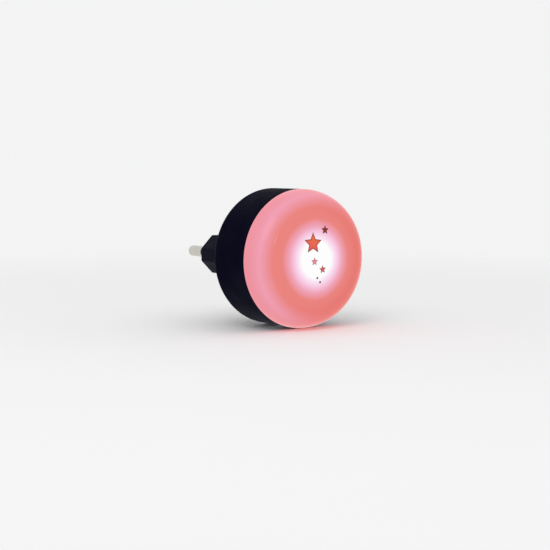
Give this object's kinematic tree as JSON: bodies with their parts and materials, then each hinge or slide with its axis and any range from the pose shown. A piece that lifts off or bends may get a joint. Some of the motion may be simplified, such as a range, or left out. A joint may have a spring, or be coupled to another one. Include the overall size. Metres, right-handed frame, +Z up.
{
  "type": "night light",
  "caption": "Round plug-in night light with a glowing opal dome on a dark drum, a plug boss with round pins behind and a small slide switch underneath.",
  "frame": {"origin": "centre of the housing's flat back face, which seats on the socket's cover plate", "axes": "+Z up, +X to the right seen from the room, -Y out of the wall into the room, +Y along the plug pins into the socket"},
  "size_m": [0.048, 0.0654, 0.0483],
  "materials": {
    "opal_diffuser": "satin opal, lit from behind",
    "dark_shell": "fine matt texture",
    "plug_plastic": "matt",
    "nickel_pin": "nickel plated",
    "sleeve_plastic": "satin",
    "contact_brass": "rolled",
    "zinc_steel": "zinc plated",
    "green_board": "solder mask",
    "white_board": "white solder mask",
    "capacitor_box": "moulded box",
    "capacitor_sleeve": "shrink sleeve",
    "resistor_coating": "lacquer",
    "moulded_epoxy": "moulded",
    "reflector_white": "satin white",
    "emitter_white": "moulded",
    "phosphor": "cast silicone",
    "switch_phenolic": "phenolic",
    "switch_steel": "nickel plated",
    "switch_nylon": "moulded",
    "knob_plastic": "fine matt texture"
  },
  "bodies": {
    "lamp": {"diffuser_dome": "opal_diffuser", "housing": "dark_shell", "plug_insert": "plug_plastic", "plug_pin_left": "nickel_pin", "plug_pin_right": "nickel_pin", "pin_sleeve_left": "sleeve_plastic", "pin_sleeve_right": "sleeve_plastic", "contact_strip_left": "contact_brass", "contact_strip_right": "contact_brass", "insert_screws": "zinc_steel", "driver_board": "green_board", "board_screws": "zinc_steel", "film_capacitor": "capacitor_box", "smoothing_capacitor": "capacitor_sleeve", "fusible_resistor": "resistor_coating", "bridge_rectifier": "moulded_epoxy", "chip_resistors": "moulded_epoxy", "link_header": "moulded_epoxy", "link_pins": "contact_brass", "reflector": "reflector_white", "led_board": "white_board", "led_bodies": "emitter_white", "led_phosphors": "phosphor", "switch_base": "switch_phenolic", "switch_frame": "switch_steel", "switch_terminals": "contact_brass"},
    "switch_slider": {"switch_knob": "knob_plastic", "switch_actuator": "switch_nylon", "switch_wiper": "contact_brass"}
  },
  "joints": [
    {"name": "switch_slide", "type": "slide", "parent": "lamp", "child": "switch_slider", "axis": [-1, 0, 0], "range_m": [0, 0.003]}
  ]
}
